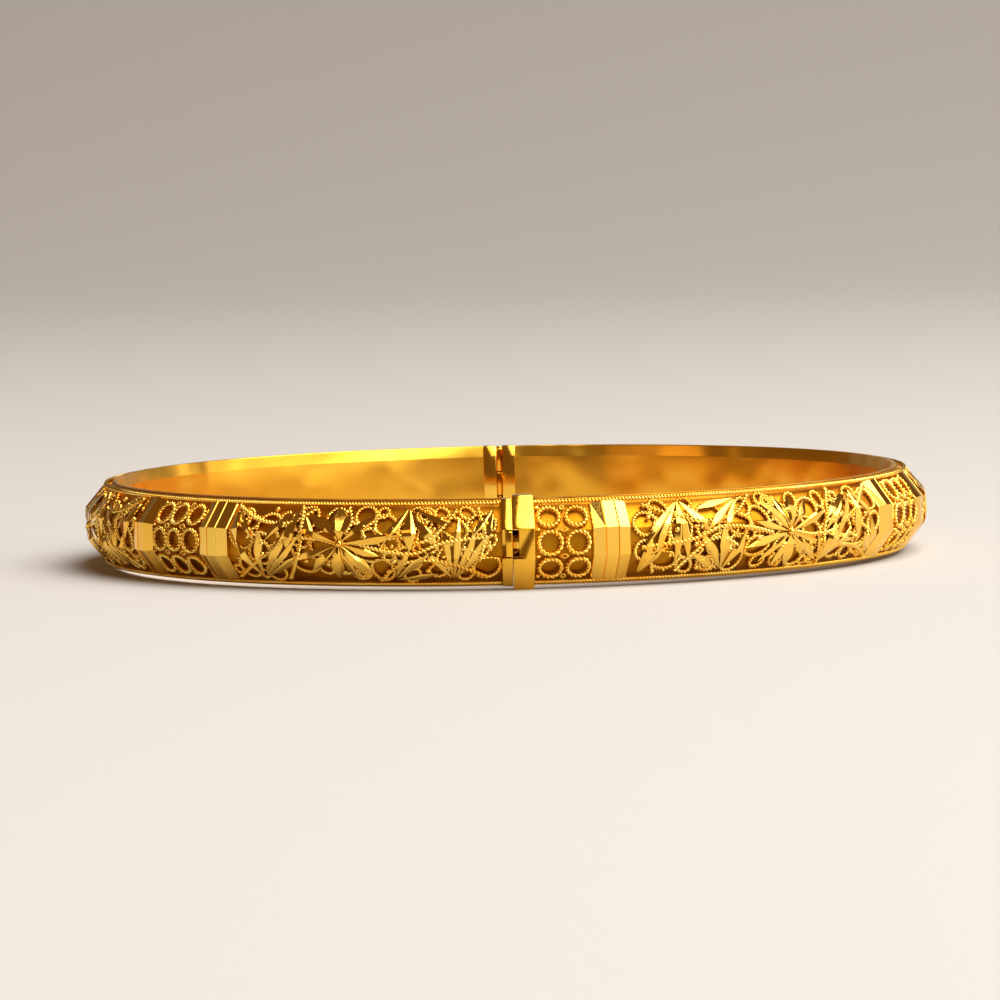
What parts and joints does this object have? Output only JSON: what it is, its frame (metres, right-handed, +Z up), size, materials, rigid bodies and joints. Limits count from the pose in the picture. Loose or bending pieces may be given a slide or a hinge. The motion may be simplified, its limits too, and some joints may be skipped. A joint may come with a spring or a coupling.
{
  "type": "bangle bracelet",
  "caption": "Hinged filigree bangle of two rigid half rings, with a pin hinge at the back and a tongue clasp with a press-in thumb piece at the front.",
  "frame": {"origin": "the ring's axis, on the surface that the bangle lies on", "axes": "+Z up along the ring's axis, -Y towards the clasp, +Y towards the hinge, +X towards the half that opens"},
  "size_m": [0.066, 0.0665, 0.007],
  "materials": {
    "polished_lining": "mirror-polished yellow gold sheet",
    "backing_sheet": "satin yellow gold sheet, darker in the recesses",
    "filigree_wire": "twisted and beaded yellow gold wire",
    "faceted_bars": "diamond-cut bright yellow gold",
    "cut_leaves": "diamond-cut bright yellow gold",
    "spring_gold": "work-hardened yellow gold sheet",
    "polished_fittings": "polished yellow gold"
  },
  "bodies": {
    "left_half": {"clasp_tongue": "spring_gold", "hinge_pin": "polished_fittings", "left_backing": "backing_sheet", "left_bottom_knuckle": "polished_fittings", "left_bottom_rim_wire": "filigree_wire", "left_divider_1": "faceted_bars", "left_divider_2": "faceted_bars", "left_divider_3": "faceted_bars", "left_divider_4": "faceted_bars", "left_divider_5": "faceted_bars", "left_end_plate": "polished_fittings", "left_flower_1": "cut_leaves", "left_flower_2": "cut_leaves", "left_flower_3": "cut_leaves", "left_hinge_block": "polished_fittings", "left_lining": "polished_lining", "left_ring_panel_1": "filigree_wire", "left_ring_panel_2": "filigree_wire", "left_ring_panel_3": "filigree_wire", "left_scroll_panel_1": "filigree_wire", "left_scroll_panel_2": "filigree_wire", "left_scroll_panel_3": "filigree_wire", "left_top_knuckle": "polished_fittings", "left_top_rim_wire": "filigree_wire"},
    "right_half": {"right_backing": "backing_sheet", "right_bottom_rim_wire": "filigree_wire", "right_box_collar": "polished_fittings", "right_divider_1": "faceted_bars", "right_divider_2": "faceted_bars", "right_divider_3": "faceted_bars", "right_divider_4": "faceted_bars", "right_divider_5": "faceted_bars", "right_flower_1": "cut_leaves", "right_flower_2": "cut_leaves", "right_flower_3": "cut_leaves", "right_hinge_block": "polished_fittings", "right_lining": "polished_lining", "right_middle_knuckle": "polished_fittings", "right_ring_panel_1": "filigree_wire", "right_ring_panel_2": "filigree_wire", "right_ring_panel_3": "filigree_wire", "right_scroll_panel_1": "filigree_wire", "right_scroll_panel_2": "filigree_wire", "right_scroll_panel_3": "filigree_wire", "right_top_rim_wire": "filigree_wire"},
    "clasp_leaf": {"clasp_spring_leaf": "spring_gold", "clasp_thumb_piece": "spring_gold"}
  },
  "joints": [
    {"name": "bangle_hinge", "type": "hinge", "parent": "left_half", "child": "right_half", "pos_m": [0, 0.0324, 0.0035], "axis": [0, 0, 1], "range_deg": [0, 70]},
    {"name": "clasp_press", "type": "hinge", "parent": "left_half", "child": "clasp_leaf", "pos_m": [0.0048, -0.03116, 0.0035], "axis": [0, 0, -1], "range_deg": [0, 8], "stiffness_Nm_per_rad": 0.05, "springref_deg": -2.86}
  ]
}
